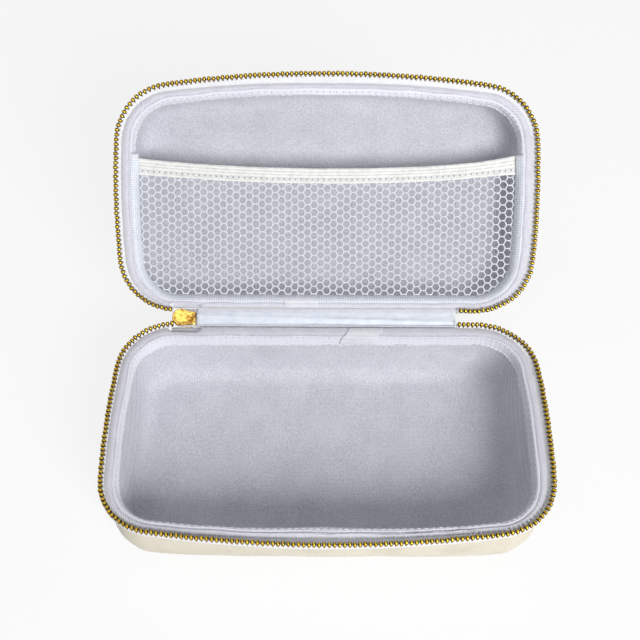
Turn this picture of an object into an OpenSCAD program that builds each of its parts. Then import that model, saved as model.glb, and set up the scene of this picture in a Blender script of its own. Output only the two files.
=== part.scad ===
// Zip-around hard travel case for jewellery, standing open.
//
// Two moulded foam shells, each covered outside and lined inside, are joined by
// a folding cloth hinge at the back and a toothed zipper round the other sides.
// The lid holds a mesh pocket under an elastic band.
//
// Millimetres. +X runs along the hinge, -Y is the front, +Z is up. The origin is
// under the middle of the base, on the surface that the case stands on.
//
// Each half is drawn the same way: its zipper plane is z = 0 and it hangs below
// that plane. u is the distance outwards from the line that the teeth follow.

/* [Outline] */
// Width between the rows of zipper teeth on the left and right sides
case_w = 230; // [190:1:300]
// Depth between the rows of teeth at the front and at the back
case_d = 128; // [110:1:180]
// Radius of the four corners of the zipper line
corner_r = 30; // [27:0.5:40]
// Radius of the bowed left and right sides
side_bow_r = 456; // [300:1:1200]
// Radius of the bowed front
front_bow_r = 642; // [400:1:1600]

/* [Shells] */
// Depth of the base from the zipper plane to its underside
base_depth = 45.5; // [36:0.5:60]
// Depth of the lid from the zipper plane to its top
lid_depth = 31; // [27:0.5:50]
// Draft of the walls, in degrees
draft = 8; // [2:0.5:10]
// Radius of the moulded edge between wall and floor, outside
edge_r = 14; // [9:0.5:16]
// Thickness of the leatherette cover
cover_t = 0.9; // [0.5:0.1:1.5]
// Thickness of the moulded foam core
core_t = 3.6; // [2:0.1:5]
// Thickness of the cloth lining
lining_t = 0.7; // [0.4:0.1:1.2]
// Step from the line of teeth in to the outside of the shell
cover_inset = 1; // [0.8:0.1:2]
// Distance from the zipper plane to the edge of the shell
rim_drop = 5.2; // [4.8:0.1:7]

/* [Binding] */
// Thickness of the binding tape that wraps the rim
binding_t = 0.9; // [0.6:0.1:1.2]
// Step from the line of teeth in to the outer edge of the binding
binding_edge = 1.8; // [1.5:0.1:3]
// Length of binding that goes down the inside of the wall
binding_leg = 8.8; // [6:0.1:12]
// Length of the lap where the two ends of a binding meet
lap_len = 19; // [12:1:30]
// Thickness of the lap
lap_t = 0.5; // [0.3:0.1:0.8]
// Place of the base's lap, to the right of the middle of the back
base_lap_x = 20; // [10:1:60]
// Place of the lid's lap, to the left of the middle of the back
lid_lap_x = 13; // [10:1:60]

/* [Zipper] */
// Distance from tooth to tooth
tooth_pitch = 2.5; // [2.2:0.1:4]
// Length of a tooth from foot to head
tooth_len = 3.7; // [3.6:0.1:4.4]
// Thickness of a tooth across the tape
tooth_t = 2.6; // [2:0.1:3.2]
// Width of a tooth's foot and head along the zipper
tooth_w = 1.5; // [1.2:0.05:1.7]
// Width of a tooth's neck along the zipper
neck_w = 1; // [0.6:0.05:1.1]
// Thickness of the zipper tape
tape_t = 0.5; // [0.3:0.05:0.7]
// Diameter of the corded edge that the teeth grip
bead_d = 1.2; // [1:0.05:1.4]
// Gap that is left between the heads of the two rows in the closed case
zip_gap = 0.3; // [0.1:0.05:0.6]

/* [Hinge] */
// Length of the cloth hinge
hinge_w = 148; // [100:1:155]
// How far the middle of the hinge lies to the right
hinge_x = 1; // [0:0.5:3]
// Thickness of the hinge's leatherette
hinge_cover_t = 0.7; // [0.4:0.1:0.9]
// Thickness of the hinge's satin lining
hinge_lining_t = 0.3; // [0.2:0.05:0.5]
// Step from the line of teeth in to the hinge's middle layer
hinge_inset = 0.5; // [0.3:0.1:0.7]
// Clearance of the rims from the hinge and the slider as they fold past
fold_clearance = 0.3; // [0.2:0.05:0.4]
// Angle that the lid is open, in degrees from closed
open_angle = 138.5; // [90:0.5:180]

/* [Slider] */
// Length of the slider along the zipper
slider_len = 13.4; // [11:0.1:16]
// Width of the slider's tail
slider_tail_w = 7.8; // [7:0.1:8.8]
// Thickness of each of the slider's two plates
plate_t = 1.1; // [0.8:0.1:1.5]
// Height of the channel between the plates
channel_h = 3; // [2.9:0.1:3.6]
// Width of the lips along the edges of the plates
lip_w = 0.9; // [0.6:0.1:1.2]
// Gap between the lips that the tapes run through
lip_gap = 1.2; // [1:0.1:1.6]
// Width of the wedge that parts the rows of teeth
wedge_w = 3.2; // [2:0.1:4]
// Length of the wedge
wedge_len = 4; // [3:0.1:5]
// Gap between the slider and the end of the hinge
slider_gap = 0.4; // [0.3:0.1:0.9]

/* [Pull] */
// Length of the pull tab
pull_len = 24; // [16:0.5:30]
// Width of the pull tab
pull_w = 7; // [5:0.5:9]
// Thickness of the pull tab
pull_t = 1.4; // [1:0.1:2]
// Diameter of the bar that hangs in the bridge
pull_bar_d = 1.6; // [1.2:0.1:1.8]
// Width of the bridge that holds the pull
bridge_w = 2.4; // [1.6:0.1:3]
// Thickness of the bridge's arch
bridge_t = 1; // [0.8:0.1:1.4]
// Clearance round the bar in the bridge
bar_clearance = 0.3; // [0.2:0.05:0.5]

/* [Pocket] */
// Width of the elastic band
elastic_w = 8.3; // [6:0.1:14]
// Thickness of the elastic band
elastic_t = 1; // [0.6:0.1:1.4]
// Thickness of the mesh
mesh_t = 0.5; // [0.3:0.1:0.8]
// Distance from the hinge to the ends of the elastic band
elastic_reach = 80.5; // [50:0.5:95]
// How far the middle of the band sags towards the hinge
elastic_sag = 5.2; // [2:0.1:10]
// Depth of the elastic band below the zipper plane of the lid
pocket_drop = 7; // [6:0.1:9]
// Width of elastic that the edge of the mesh lies behind
mesh_lap = 3; // [2:0.1:5]

/* [Hidden] */

cream = "#e8e2d2";
foam_grey = "#4a4a4c";
lining_grey = "#ccccd6";
binding_white = "#e2e0ec";
satin_white = "#e2e8f2";
mesh_white = "#f2f2f6";
gold = "#d8b24a";

// What two pieces keep between them where they only lie close
seat_clearance = 0.05;
// What a tooth's slot keeps round the bead, which bends a little inside it
bead_clearance = 0.1;
// Steps of the moulded edge, and of each arc of the zipper line
edge_steps = 4;
corner_steps = 7;
side_steps = 4;
front_steps = 6;
// Length over which a binding's section changes
ease = 1.2;

// ---- The zipper line: a straight back, and seven arcs that run on from each
// other. The front's arcs are tangent, and so are the back corners to the back.
half_w = case_w / 2;
half_d = case_d / 2;
side_x = side_bow_r - half_w;
front_y = front_bow_r - half_d;
side_reach = side_bow_r - corner_r;
front_reach = front_bow_r - corner_r;
centres_apart = norm([side_x, front_y]);
along = (side_reach ^ 2 - front_reach ^ 2 + centres_apart ^ 2) / (2 * centres_apart);
across = sqrt(side_reach ^ 2 - along ^ 2);
front_corner = [
    -side_x + (along * side_x + across * front_y) / centres_apart,
    (along * front_y - across * side_x) / centres_apart
];
back_corner = [-side_x + sqrt(side_reach ^ 2 - (half_d - corner_r) ^ 2), half_d - corner_r];
front_turn = atan2(front_corner.x, front_y - front_corner.y);
side_front_turn = atan2(-front_corner.y, front_corner.x + side_x);
side_back_turn = atan2(back_corner.y, back_corner.x + side_x);

// A stretch is [radius, x, y, first angle, last angle, steps]. A straight one has
// radius 0, starts at x, y and ends at the x given as its last angle.
STRETCHES = [
    [0, 0, half_d, 90, -back_corner.x, 1],
    [corner_r, -back_corner.x, back_corner.y, 90, 180 - side_back_turn, corner_steps],
    [side_bow_r, side_x, 0, 180 - side_back_turn, 180 + side_front_turn, side_steps],
    [corner_r, -front_corner.x, front_corner.y, 180 + side_front_turn, 270 - front_turn,
     corner_steps],
    [front_bow_r, 0, front_y, 270 - front_turn, 270 + front_turn, front_steps],
    [corner_r, front_corner.x, front_corner.y, 270 + front_turn, 360 - side_front_turn,
     corner_steps],
    [side_bow_r, -side_x, 0, 360 - side_front_turn, 360 + side_back_turn, side_steps],
    [corner_r, back_corner.x, back_corner.y, 360 + side_back_turn, 450, corner_steps],
    [0, back_corner.x, half_d, 90, 0, 1]
];
function stretch_len(s) = s[0] == 0 ? s[1] - s[4] : s[0] * (s[4] - s[3]) * PI / 180;
function run_to(i) = i == 0 ? 0 : run_to(i - 1) + stretch_len(STRETCHES[i - 1]);
line_len = run_to(len(STRETCHES));

// A station is a place on the line and its outward direction, [x, y, dx, dy], after
// its distance from the middle of the back, round by the left.
STATIONS = [
    for (i = [0 : len(STRETCHES) - 1], k = [0 : STRETCHES[i][5] - 1])
        let (s = STRETCHES[i],
             share = k / s[5],
             a = s[0] == 0 ? 90 : s[3] + (s[4] - s[3]) * share)
        [run_to(i) + stretch_len(s) * share,
         [s[1] + s[0] * cos(a), s[2] + (s[0] == 0 ? 0 : s[0] * sin(a)), cos(a), sin(a)]]
];
CLOSED_STATIONS = concat(STATIONS, [[line_len, STATIONS[0][1]]]);

// The station at any distance, on the straight line between its neighbours
function station_at(distance) = [for (k = [0 : 3])
    lookup(distance, [for (s = CLOSED_STATIONS) [s[0], s[1][k]]])];
function place(station, p) =
    [station.x + p[0] * station[2], station.y + p[0] * station[3], p[1]];

// Distances from one place to another, with the stations between them
function distances(from, to) = concat(
    [from], [for (s = STATIONS) if (s[0] > from && s[0] < to) s[0]], [to]);

// The line moved outwards by u, as the points of a polygon
function outline(u) = [for (s = STATIONS) [s[1].x + u * s[1][2], s[1].y + u * s[1][3]]];

// A solid through closed rings of points, each listed clockwise as seen from the
// next. A loop's last ring joins its first. Otherwise flat parts close the first and
// the last ring, each a list of corners that starts where the whole part is in view.
module loft(rings, loop = false, ends = []) {
    n = len(rings);
    m = len(rings[0]);
    sides = [
        for (i = [0 : n - (loop ? 1 : 2)], j = [0 : m - 1])
            let (a = i * m, b = (i + 1) % n * m, k = (j + 1) % m)
            each [[a + j, a + k, b + k], [a + j, b + k, b + j]]
    ];
    parts = loop ? [] : len(ends) > 0 ? ends : [[for (j = [0 : m - 1]) j]];
    caps = [
        for (part = parts)
            each [
                concat([part[0]], [for (j = [len(part) - 1 : -1 : 1]) part[j]]),
                [for (j = part) (n - 1) * m + j]
            ]
    ];
    polyhedron([for (ring = rings) each ring], concat(sides, caps));
}

// A cross-section in (u, z), carried along the line from one distance to another
module carry(from, to, section, ends) {
    loft([for (d = distances(from, to)) [for (p = section) place(station_at(d), p)]],
         ends = ends);
}

// ---- Shell sections. A layer is told by how far it lies inside the outer face.
shell_t = cover_t + core_t + lining_t;
function edge_z(depth) = depth - edge_r;
function edge_u(depth) =
    -cover_inset - (edge_r + (edge_z(depth) - rim_drop) * sin(draft)) / cos(draft);
function wall_u(depth, z, inside) =
    edge_u(depth) + (edge_r - inside + (edge_z(depth) - z) * sin(draft)) / cos(draft);

// One face of a layer, from the rim down and round to the floor
function layer_curve(depth, inside) = concat(
    [[wall_u(depth, rim_drop, inside), -rim_drop]],
    [for (k = [0 : edge_steps])
        let (a = -draft - (90 - draft) * k / edge_steps)
        [edge_u(depth) + (edge_r - inside) * cos(a),
         -edge_z(depth) + (edge_r - inside) * sin(a)]]
);
function reversed(points) = [for (i = [len(points) - 1 : -1 : 0]) points[i]];

module shell_layer(depth, outer, inner) {
    curve = concat(reversed(layer_curve(depth, inner)), layer_curve(depth, outer));
    // The back is one straight side, so the station in its middle is left out.
    loft([for (p = curve) [for (i = [1 : len(STATIONS) - 1]) place(STATIONS[i][1], p)]]);
}

// ---- Rim sections
tape_top = rim_drop - tape_t;
binding_foot = rim_drop + binding_leg;

// The binding's section lies on a seat at the given depth: the tape, or the shell's
// own edge along the hinge.
function binding_section(depth, edge, seat, thickness = binding_t, lift = 0) =
    let (under = seat - lift,
         top = under - thickness,
         inside = shell_t + lift + thickness)
    [
        [wall_u(depth, top, inside), -top],
        [wall_u(depth, binding_foot, inside), -binding_foot],
        [wall_u(depth, binding_foot, inside - thickness), -binding_foot],
        [wall_u(depth, under, inside - thickness), -under],
        [-edge, -under],
        [-edge, -top]
    ];
binding_ends = [[3, 4, 5, 0, 1, 2]];

// The tape lies on the shell's edge under the binding, and stands up outside it
// to a corded edge.
tooth_tip = zip_gap / 2;
tooth_foot = tooth_tip + tooth_len;
foot_h = tooth_len * 0.42;
neck_h = tooth_len * 0.2;
bead_top = tooth_foot - foot_h;
bead_foot = bead_top + bead_d;

// One side of the upright's section, from its foot to the top of the bead
function upright_side(grow) = [
    [tape_t / 2 + grow, -bead_foot - grow],
    [bead_d / 2 + grow, -bead_foot - grow],
    [bead_d / 2 + grow, -bead_top + grow]
];
function other_side(points) = reversed([for (p = points) [-p.x, p.y]]);

function tape_section(depth) = concat(
    [[tape_t / 2, -rim_drop]],
    upright_side(0),
    other_side(upright_side(0)),
    [[-tape_t / 2, -tape_top]],
    [[wall_u(depth, tape_top, shell_t) + seat_clearance, -tape_top]],
    [[wall_u(depth, rim_drop, shell_t) + seat_clearance, -rim_drop]]
);
// The bead, and the rest of the section
tape_ends = [[3, 4, 5, 6, 1, 2], [7, 8, 9, 0, 1, 6]];

// A tooth is a round-shouldered head on a narrow neck, and a foot whose slot
// holds the bead and lets the tape out below.
head_chamfer = tooth_w / 4;

function tooth_side() = [
    [tooth_w / 2 - head_chamfer, -tooth_tip],
    [tooth_w / 2, -tooth_tip - head_chamfer],
    [neck_w / 2, -bead_top + neck_h],
    [tooth_w / 2, -bead_top + bead_clearance],
    [tooth_w / 2, -tooth_foot]
];

function tape_slot(grow) = concat(
    [[tape_t / 2 + grow, -rim_drop]],
    upright_side(grow),
    other_side(upright_side(grow)),
    [[-tape_t / 2 - grow, -rim_drop]]
);

module tooth() {
    difference() {
        rotate([90, 0, 90])
            linear_extrude(tooth_t, center = true)
                polygon(concat(tooth_side(), other_side(tooth_side())));
        rotate([90, 0, 0])
            linear_extrude(2 * tooth_w, center = true)
                polygon(tape_slot(bead_clearance));
    }
}

// ---- Where the zipper starts and stops along the line
hinge_left = hinge_x - hinge_w / 2;
hinge_right = hinge_x + hinge_w / 2;
slider_x = hinge_left - slider_gap - slider_len / 2;
tape_from = slider_len + slider_gap - hinge_left + slider_gap;
tape_to = line_len - hinge_right - slider_gap;
teeth_from = tape_from + tooth_w / 2;
tooth_count = floor((tape_to - tooth_w / 2 - teeth_from) / tooth_pitch);

// The lid's teeth stand half a pitch along from the base's.
module teeth(shift) {
    for (i = [0 : tooth_count - 1]) {
        s = station_at(teeth_from + shift + i * tooth_pitch);
        translate([s.x, s.y, 0]) rotate(atan2(s[3], s[2])) tooth();
    }
}

// Each rim steps back where the slider folds in between the two halves.
notch_edge = hinge_inset + channel_h / 2 + plate_t + fold_clearance;
EDGE_ALONG = [
    [-hinge_left - ease, binding_edge],
    [-hinge_left, notch_edge],
    [tape_from, notch_edge],
    [tape_from + ease, binding_edge]
];
// Between the two ends of the tape the binding lies on it.
SEAT_ALONG = [
    [tape_from - slider_gap, rim_drop],
    [tape_from, tape_top],
    [tape_to, tape_top],
    [tape_to + slider_gap, rim_drop]
];

function sorted(list) = len(list) < 2 ? list :
    let (rest = [for (i = [1 : len(list) - 1]) list[i]])
    concat(
        sorted([for (v = rest) if (v < list[0]) v]),
        [list[0]],
        sorted([for (v = rest) if (v > list[0]) v])
    );

module zip_tape(depth) {
    carry(tape_from, tape_to, tape_section(depth), tape_ends);
}

module binding(depth) {
    changes = [for (list = [EDGE_ALONG, SEAT_ALONG], change = list) change[0]];
    at = sorted(concat([for (s = STATIONS) s[0]], changes));
    loft([
        for (d = at)
            let (section = binding_section(depth, lookup(d, EDGE_ALONG), lookup(d, SEAT_ALONG)))
            [for (p = section) place(station_at(d), p)]
    ], loop = true);
}

// A binding's two ends meet under a lap, on the part that lies on the shell's edge.
module binding_lap(depth, middle) {
    carry(middle - lap_len / 2, middle + lap_len / 2,
          binding_section(depth, binding_edge, rim_drop, lap_t, binding_t), binding_ends);
}

// ---- Where the parts stand. The hinge folds along the edge of each shell.
hinge_y = half_d - hinge_inset;
fold_angle = open_angle / 2;

module on_base() {
    translate([0, 0, base_depth]) children();
}

// Turns what is drawn with the case closed about one fold
module folded(fold_z) {
    translate([0, hinge_y, fold_z])
        rotate([-fold_angle, 0, 0])
            translate([0, -hinge_y, -fold_z]) children();
}

module on_hinge() {
    on_base() folded(-rim_drop) children();
}

module on_lid() {
    on_hinge() folded(rim_drop) mirror([0, 0, 1]) children();
}

// ---- Base
module base_cover() {
    color(cream) on_base() shell_layer(base_depth, 0, cover_t);
}

module base_core() {
    color(foam_grey) on_base() shell_layer(base_depth, cover_t, cover_t + core_t);
}

module base_lining() {
    color(lining_grey) on_base() shell_layer(base_depth, cover_t + core_t, shell_t);
}

module base_binding() {
    color(binding_white) on_base() binding(base_depth);
}

module base_binding_lap() {
    color(satin_white) on_base()
        binding_lap(base_depth, line_len - base_lap_x);
}

module base_zip_tape() {
    color(binding_white) on_base() zip_tape(base_depth);
}

module base_zip_teeth() {
    color(gold) on_base() teeth(0);
}

// ---- Hinge: two layers of cloth between the folds
module hinge_layer(y, thickness) {
    on_hinge()
        translate([hinge_left, hinge_y + y, -rim_drop])
            cube([hinge_w, thickness, 2 * rim_drop]);
}

module hinge_cover() {
    color(cream) hinge_layer(0, hinge_cover_t);
}

module hinge_lining() {
    color(satin_white) hinge_layer(-hinge_lining_t, hinge_lining_t);
}

// ---- Slider: drawn in the (x, z) plane of the hinge, with +Y outwards
module on_slider() {
    on_hinge() translate([slider_x, hinge_y, 0]) children();
}

module from_plane(y, thickness) {
    translate([0, y + thickness, 0]) rotate([90, 0, 0]) linear_extrude(thickness) children();
}

slider_mouth_d = 2 * (rim_drop - fold_clearance);
mouth_x = (slider_mouth_d - slider_len) / 2;

module plate_outline(inset = 0) {
    translate([mouth_x, 0]) circle(d = slider_mouth_d - 2 * inset, $fn = 64);
    translate([mouth_x, -slider_tail_w / 2 + inset])
        square([slider_len / 2 - mouth_x, slider_tail_w - 2 * inset]);
}

// A lip stands along each plate's edge, but leaves the mouth and tail open.
module lip_outline() {
    difference() {
        plate_outline();
        plate_outline(lip_w);
        translate([-slider_len / 2, -slider_tail_w / 2])
            square([slider_len / 4, slider_tail_w]);
    }
}

lip_h = (channel_h - lip_gap) / 2;
wedge_x = -slider_len / 2 + lip_w;

module slider_body() {
    color(gold) on_slider() {
        from_plane(-channel_h / 2 - plate_t, plate_t) plate_outline();
        from_plane(channel_h / 2, plate_t) plate_outline();
        from_plane(-channel_h / 2, lip_h) lip_outline();
        from_plane(channel_h / 2 - lip_h, lip_h) lip_outline();
        from_plane(-channel_h / 2, channel_h)
            polygon([
                [wedge_x, -wedge_w / 4],
                [wedge_x + wedge_len / 2, -wedge_w / 2],
                [wedge_x + wedge_len, 0],
                [wedge_x + wedge_len / 2, wedge_w / 2],
                [wedge_x, wedge_w / 4]
            ]);
    }
}

bridge_y = channel_h / 2 + plate_t;
eye_r = pull_bar_d / 2 + bar_clearance;
bar_y = bridge_y + eye_r;
bridge_r = eye_r + bridge_t;

// A round arch over the bar, on two straight legs
module slider_bridge() {
    color(gold) on_slider()
        translate([0, 0, -bridge_w / 2]) linear_extrude(bridge_w)
            difference() {
                union() {
                    translate([0, bar_y]) circle(r = bridge_r, $fn = 48);
                    translate([-bridge_r, bridge_y]) square([2 * bridge_r, eye_r]);
                }
                translate([0, bar_y]) circle(r = eye_r, $fn = 48);
                translate([-eye_r, bridge_y]) square([2 * eye_r, eye_r]);
                translate([-2 * bridge_r, bridge_y - 2 * bridge_r])
                    square([4 * bridge_r, 2 * bridge_r]);
            }
}

pull_corner_r = pull_w / 4;
pull_eye_w = bridge_w + 2 * bar_clearance;
pull_eye_len = bridge_t + 3 * bar_clearance + pull_bar_d / 2;
pull_hole_d = pull_w / 3;

// The tab hangs outwards from its bar: a window takes the bridge's arch, and a
// small hole is left near its end for a ribbon.
module pull_tab() {
    color(gold) on_slider()
        translate([0, bar_y, 0]) {
            cylinder(d = pull_bar_d, h = pull_eye_w, center = true, $fn = 32);
            rotate([90, 0, 90]) linear_extrude(pull_t, center = true)
                difference() {
                    pull_outline();
                    translate([-pull_bar_d / 2, -pull_eye_w / 2])
                        square([pull_bar_d / 2 + pull_eye_len, pull_eye_w]);
                    translate([pull_len - pull_corner_r - pull_hole_d / 2, 0])
                        circle(d = pull_hole_d, $fn = 32);
                }
        }
}

module pull_outline() {
    translate([-pull_bar_d / 2, -pull_w / 2])
        square([pull_len - pull_corner_r + pull_bar_d / 2, pull_w]);
    translate([pull_len - 2 * pull_corner_r, -pull_w / 2 + pull_corner_r])
        square([2 * pull_corner_r, pull_w - 2 * pull_corner_r]);
    for (side = [-1, 1])
        translate([pull_len - pull_corner_r, side * (pull_w / 2 - pull_corner_r)])
            circle(r = pull_corner_r, $fn = 32);
}

// ---- Lid
module lid_cover() {
    color(cream) on_lid() shell_layer(lid_depth, 0, cover_t);
}

module lid_core() {
    color(foam_grey) on_lid() shell_layer(lid_depth, cover_t, cover_t + core_t);
}

module lid_lining() {
    color(lining_grey) on_lid() shell_layer(lid_depth, cover_t + core_t, shell_t);
}

module lid_binding() {
    color(binding_white) on_lid() binding(lid_depth);
}

module lid_binding_lap() {
    color(satin_white) on_lid()
        binding_lap(lid_depth, lid_lap_x);
}

module lid_zip_tape() {
    color(binding_white) on_lid() zip_tape(lid_depth);
}

module lid_zip_teeth() {
    color(gold) on_lid() teeth(tooth_pitch / 2);
}

// ---- Pocket: the elastic band is an arc that sags towards the hinge, and the
// mesh behind it fills the lid from the band down to the hinge.
mesh_drop = pocket_drop + elastic_t;
mesh_foot = mesh_drop + mesh_t;
pocket_u = wall_u(lid_depth, mesh_foot, shell_t + binding_t + lap_t) - seat_clearance;
band_half = half_w + pocket_u;
band_r = (band_half ^ 2 + elastic_sag ^ 2) / (2 * elastic_sag);
band_y = half_d - elastic_reach + elastic_sag - band_r;
band_steps = 400;

module below_band(r) {
    difference() {
        polygon(outline(pocket_u));
        translate([0, band_y]) circle(r = r, $fn = band_steps);
    }
}

module pocket_mesh() {
    color(mesh_white) on_lid()
        translate([0, 0, -mesh_foot])
            linear_extrude(mesh_t) below_band(band_r - elastic_w / 2 + mesh_lap);
}

module pocket_elastic() {
    color(satin_white) on_lid()
        translate([0, 0, -mesh_drop])
            linear_extrude(elastic_t)
                intersection() {
                    below_band(band_r - elastic_w / 2);
                    translate([0, band_y])
                        circle(r = band_r + elastic_w / 2, $fn = band_steps);
                }
}

base_cover();
base_core();
base_lining();
base_binding();
base_binding_lap();
base_zip_tape();
base_zip_teeth();
hinge_cover();
hinge_lining();
slider_body();
slider_bridge();
pull_tab();
lid_cover();
lid_core();
lid_lining();
lid_binding();
lid_binding_lap();
lid_zip_tape();
lid_zip_teeth();
pocket_mesh();
pocket_elastic();
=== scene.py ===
"""Looks of a zip-around hard travel case for jewellery, standing open.

Sizes are in millimetres until a mesh is made. A half is drawn as in the frame: its
zipper plane is z = 0 and it hangs below that plane; u is the distance outwards from the
line of the teeth, and d the distance along that line from the middle of the back, round
by the left.
"""
import math

import bmesh
import bpy
import numpy as np
from mathutils import Matrix, Vector


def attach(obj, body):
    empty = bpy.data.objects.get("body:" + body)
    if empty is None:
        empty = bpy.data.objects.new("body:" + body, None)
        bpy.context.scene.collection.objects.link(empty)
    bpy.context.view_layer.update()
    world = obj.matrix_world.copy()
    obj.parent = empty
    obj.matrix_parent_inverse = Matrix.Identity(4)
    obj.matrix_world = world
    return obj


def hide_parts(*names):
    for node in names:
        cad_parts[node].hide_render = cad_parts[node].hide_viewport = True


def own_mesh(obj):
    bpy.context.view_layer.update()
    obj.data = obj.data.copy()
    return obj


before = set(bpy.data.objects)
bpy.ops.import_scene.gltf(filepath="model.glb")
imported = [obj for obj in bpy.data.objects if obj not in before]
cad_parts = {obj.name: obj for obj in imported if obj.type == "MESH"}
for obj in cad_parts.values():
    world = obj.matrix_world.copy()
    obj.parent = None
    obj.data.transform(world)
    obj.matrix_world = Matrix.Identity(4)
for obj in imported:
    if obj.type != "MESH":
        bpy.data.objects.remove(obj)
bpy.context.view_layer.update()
bpy.context.scene.view_settings.view_transform = "Standard"

# ---- Driving sizes, as in the frame
CASE_W, CASE_D, CORNER_R = 230.0, 128.0, 30.0
SIDE_BOW_R, FRONT_BOW_R = 456.0, 642.0
BASE_DEPTH, LID_DEPTH = 45.5, 31.0
DRAFT, EDGE_R = math.radians(8), 14.0
COVER_T, CORE_T, LINING_T = 0.9, 3.6, 0.7
SHELL_T = COVER_T + CORE_T + LINING_T
COVER_INSET, RIM_DROP = 1.0, 5.2
TAPE_TOP = 4.7
TOOTH_PITCH, TOOTH_LEN, TOOTH_GAP = 2.5, 3.7, 0.15
HINGE_W, HINGE_X, HINGE_INSET = 148.0, 1.0, 0.5
SLIDER_LEN, SLIDER_GAP, PLATE_T, CHANNEL_H = 13.4, 0.4, 1.1, 3.0
ELASTIC_W, ELASTIC_REACH, ELASTIC_SAG, POCKET_DROP = 8.3, 80.5, 5.2, 7.0
OPEN_ANGLE = 138.5
HALF_W, HALF_D = CASE_W / 2, CASE_D / 2
HINGE_LEFT, HINGE_RIGHT = HINGE_X - HINGE_W / 2, HINGE_X + HINGE_W / 2
SLIDER_X = HINGE_LEFT - SLIDER_GAP - SLIDER_LEN / 2

rng = np.random.RandomState(7)


# ---- The zipper line
def line_stretches():
    """(radius, x, y, first angle, last angle) of each arc; a straight one has radius 0,
    its start in x, y and its last x as the last angle."""
    side_x, front_y = SIDE_BOW_R - HALF_W, FRONT_BOW_R - HALF_D
    side_reach, front_reach = SIDE_BOW_R - CORNER_R, FRONT_BOW_R - CORNER_R
    apart = math.hypot(side_x, front_y)
    along = (side_reach**2 - front_reach**2 + apart**2) / (2 * apart)
    across = math.sqrt(side_reach**2 - along**2)
    fx = -side_x + (along * side_x + across * front_y) / apart
    fy = (along * front_y - across * side_x) / apart
    by = HALF_D - CORNER_R
    bx = -side_x + math.sqrt(side_reach**2 - by**2)
    front = math.degrees(math.atan2(fx, front_y - fy))
    low = math.degrees(math.atan2(-fy, fx + side_x))
    high = math.degrees(math.atan2(by, bx + side_x))
    return [
        (0, 0, HALF_D, 90, -bx),
        (CORNER_R, -bx, by, 90, 180 - high),
        (SIDE_BOW_R, side_x, 0, 180 - high, 180 + low),
        (CORNER_R, -fx, fy, 180 + low, 270 - front),
        (FRONT_BOW_R, 0, front_y, 270 - front, 270 + front),
        (CORNER_R, fx, fy, 270 + front, 360 - low),
        (SIDE_BOW_R, -side_x, 0, 360 - low, 360 + high),
        (CORNER_R, bx, by, 360 + high, 450),
        (0, bx, HALF_D, 90, 0),
    ]


STRETCHES = line_stretches()


def stretch_len(s):
    return s[1] - s[4] if s[0] == 0 else s[0] * math.radians(s[4] - s[3])


LINE_LEN = sum(stretch_len(s) for s in STRETCHES)


def line(d):
    """x, y and the outward direction at distances d, in the last axis."""
    d = np.mod(np.asarray(d, float), LINE_LEN)
    out, start = np.zeros(d.shape + (4,)), 0.0
    for s in STRETCHES:
        r, cx, cy, a0, _ = s
        length = stretch_len(s)
        inside = (d >= start) & (d <= start + length)
        t = d[inside] - start
        if r == 0:
            out[inside] = np.stack([cx - t, 0 * t + cy, 0 * t, 0 * t + 1], -1)
        else:
            c, n = np.cos(math.radians(a0) + t / r), np.sin(math.radians(a0) + t / r)
            out[inside] = np.stack([cx + r * c, cy + r * n, c, n], -1)
        start += length
    return out


def carried(d, u, z):
    """Points (u, z) carried to the distances d; all three have one shape."""
    s = line(d)
    return np.concatenate([s[..., :2] + u[..., None] * s[..., 2:], z[..., None]], -1)


def facing(d):
    """The outward direction in degrees: 0 right, 90 back, 180 left and 270 front."""
    s = line(d)
    return np.degrees(np.arctan2(s[..., 3], s[..., 2])) % 360


def by_side(d, front, left, right, back):
    """A value that turns from side to side with the direction of the line."""
    n = line(d)[..., 2:]
    w = np.maximum(np.stack([-n[..., 1], -n[..., 0], n[..., 0], n[..., 1]], -1), 0) ** 2
    return w @ np.array([front, left, right, back], float)


def floor_edge(depth):
    """Depth and u of the middle of the rounding between wall and floor."""
    z = depth - EDGE_R
    return z, -COVER_INSET - (EDGE_R + (z - RIM_DROP) * math.sin(DRAFT)) / math.cos(DRAFT)


def wall_u(depth, z, inside):
    """u of the wall at the depth z, for the face that lies so far inside the cover's."""
    edge_z, edge_u = floor_edge(depth)
    return edge_u + (EDGE_R - inside + (edge_z - z) * math.sin(DRAFT)) / math.cos(DRAFT)


def layer_curve(depth, inside, steps=12, wall_steps=6):
    """One face of a layer, from the rim down the wall and round to the floor."""
    edge_z, edge_u = floor_edge(depth)
    r = EDGE_R - inside
    a = -DRAFT - (math.pi / 2 - DRAFT) * np.linspace(0, 1, steps + 1)
    curve = np.stack([edge_u + r * np.cos(a), -edge_z + r * np.sin(a)], -1)
    top = np.array([wall_u(depth, RIM_DROP, inside), -RIM_DROP])
    wall = top + (curve[0] - top) * np.linspace(0, 1, wall_steps + 1)[:-1, None]
    return np.concatenate([wall, curve])


# ---- Where the halves and the hinge stand
def shift(x, y, z):
    m = np.eye(4)
    m[:3, 3] = x, y, z
    return m


def fold(z):
    a, y = -math.radians(OPEN_ANGLE / 2), HALF_D - HINGE_INSET
    turn = np.eye(4)
    turn[1:3, 1:3] = [[math.cos(a), -math.sin(a)], [math.sin(a), math.cos(a)]]
    return shift(0, y, z) @ turn @ shift(0, -y, -z)


ON_BASE = shift(0, 0, BASE_DEPTH)
ON_HINGE = ON_BASE @ fold(-RIM_DROP)
ON_LID = ON_HINGE @ fold(RIM_DROP) @ np.diag([1.0, 1.0, -1.0, 1.0])
ON_SLIDER = ON_HINGE @ shift(SLIDER_X, HALF_D - HINGE_INSET, 0)


# ---- Meshes
def circle(steps):
    """Angles that go round once."""
    return np.linspace(0, math.tau, steps, endpoint=False)


def flipped(faces):
    return [f[::-1] for f in faces]


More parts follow.
